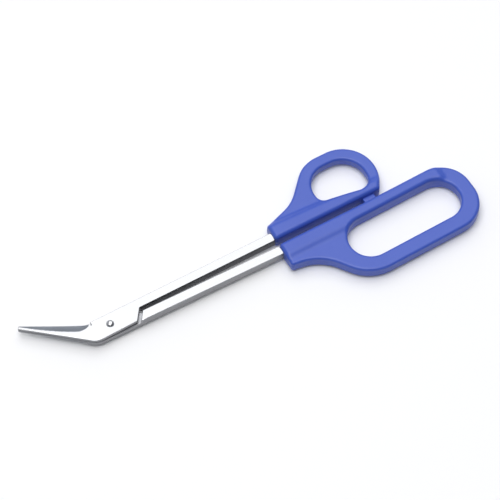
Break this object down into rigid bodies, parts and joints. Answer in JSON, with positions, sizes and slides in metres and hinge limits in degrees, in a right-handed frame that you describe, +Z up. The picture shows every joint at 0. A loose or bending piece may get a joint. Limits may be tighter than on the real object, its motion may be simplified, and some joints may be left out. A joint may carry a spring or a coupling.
{
  "type": "long-reach toenail scissors",
  "caption": "Long-handled toenail scissors with angled blades, flat steel bars joined by a lap rivet, and moulded thumb and finger loops.",
  "frame": {"origin": "middle of the closed scissors' outline, on the surface that they lie on", "axes": "+X along the bars from the blades to the handles, +Y towards the thumb loop, +Z up, parallel to the pivot axis"},
  "size_m": [0.2108, 0.0656, 0.0084],
  "materials": {
    "blade_steel": "polished flats with finely ground edges",
    "rivet_steel": "polished",
    "handle_plastic": "satin moulded, periwinkle blue"
  },
  "bodies": {
    "finger_half": {"finger_blade": "blade_steel", "finger_handle": "handle_plastic", "pivot_rivet": "rivet_steel", "pivot_washer": "rivet_steel"},
    "thumb_half": {"thumb_blade": "blade_steel", "thumb_handle": "handle_plastic"}
  },
  "joints": [
    {"name": "pivot", "type": "hinge", "parent": "finger_half", "child": "thumb_half", "pos_m": [-0.06954, 0.00308, 0.0042], "axis": [0, 0, 1], "range_deg": [0, 30]}
  ]
}
